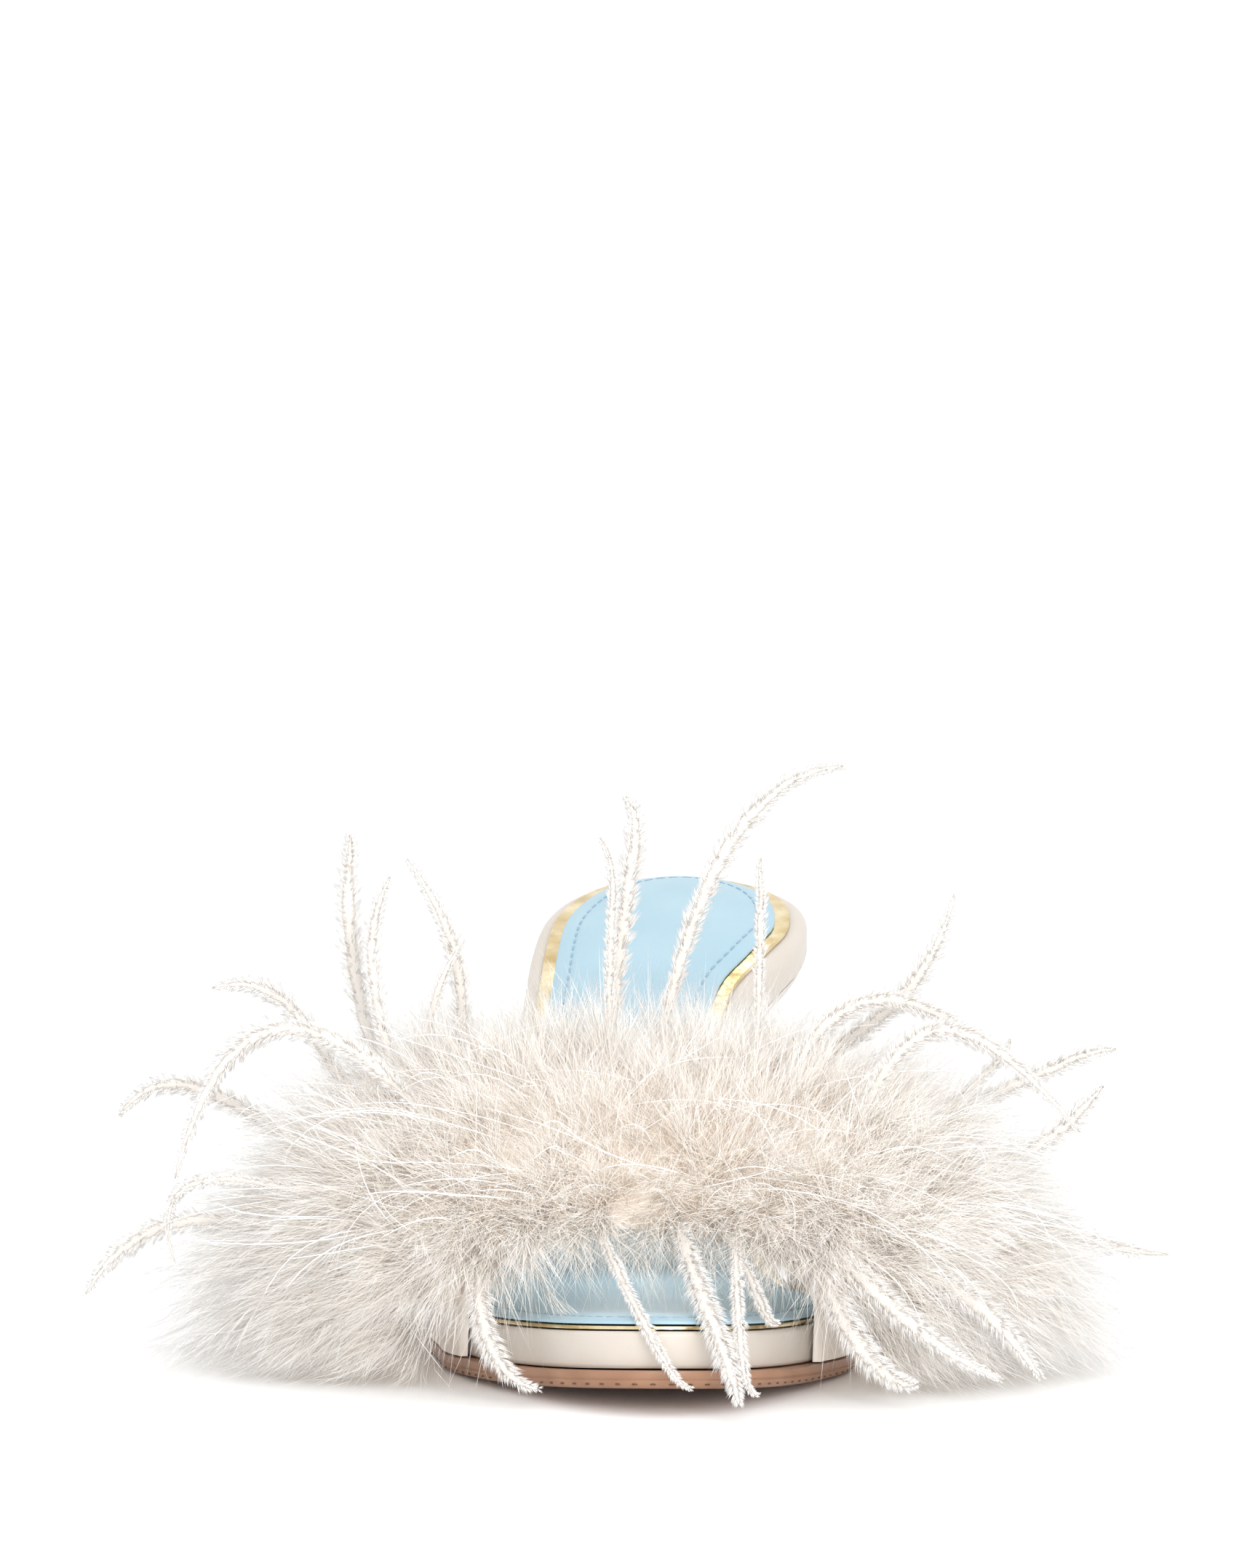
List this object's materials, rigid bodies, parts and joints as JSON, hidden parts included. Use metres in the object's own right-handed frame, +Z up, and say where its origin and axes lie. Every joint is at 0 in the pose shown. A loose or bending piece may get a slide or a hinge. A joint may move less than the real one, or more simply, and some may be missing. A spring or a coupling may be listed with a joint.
{
  "type": "high-heeled marabou mule",
  "caption": "Right-foot open-toed mule with a slim covered heel, a padded foot bed and a full feather trim over the vamp.",
  "frame": {"origin": "on the floor under the ball of the foot, at the middle of the forefoot's flat tread", "axes": "+Y from the toe to the heel, +Z up, +X to the inner side of this right shoe"},
  "size_m": [0.1933, 0.2417, 0.1057],
  "materials": {
    "sole_leather": "waxed",
    "ivory_leather": "smooth satin",
    "gold_leather": "metallic foil",
    "blue_leather": "soft matt",
    "heel_rubber": "matt",
    "down": "fluffy down",
    "ostrich": "silky barbs"
  },
  "bodies": {
    "root": {"outsole": "sole_leather", "covered_insole": "ivory_leather", "metallic_trim": "gold_leather", "padded_sock": "blue_leather", "upper": "ivory_leather", "covered_heel": "ivory_leather", "top_piece": "heel_rubber", "marabou_trim": "down", "ostrich_plume_01": "ostrich", "ostrich_plume_02": "ostrich", "ostrich_plume_03": "ostrich", "ostrich_plume_04": "ostrich", "ostrich_plume_05": "ostrich", "ostrich_plume_06": "ostrich", "ostrich_plume_07": "ostrich", "ostrich_plume_08": "ostrich", "ostrich_plume_09": "ostrich", "ostrich_plume_10": "ostrich", "ostrich_plume_11": "ostrich", "ostrich_plume_12": "ostrich", "ostrich_plume_13": "ostrich", "ostrich_plume_14": "ostrich", "ostrich_plume_15": "ostrich", "ostrich_plume_16": "ostrich", "ostrich_plume_17": "ostrich", "ostrich_plume_18": "ostrich", "ostrich_plume_19": "ostrich", "ostrich_plume_20": "ostrich"}
  },
  "joints": []
}
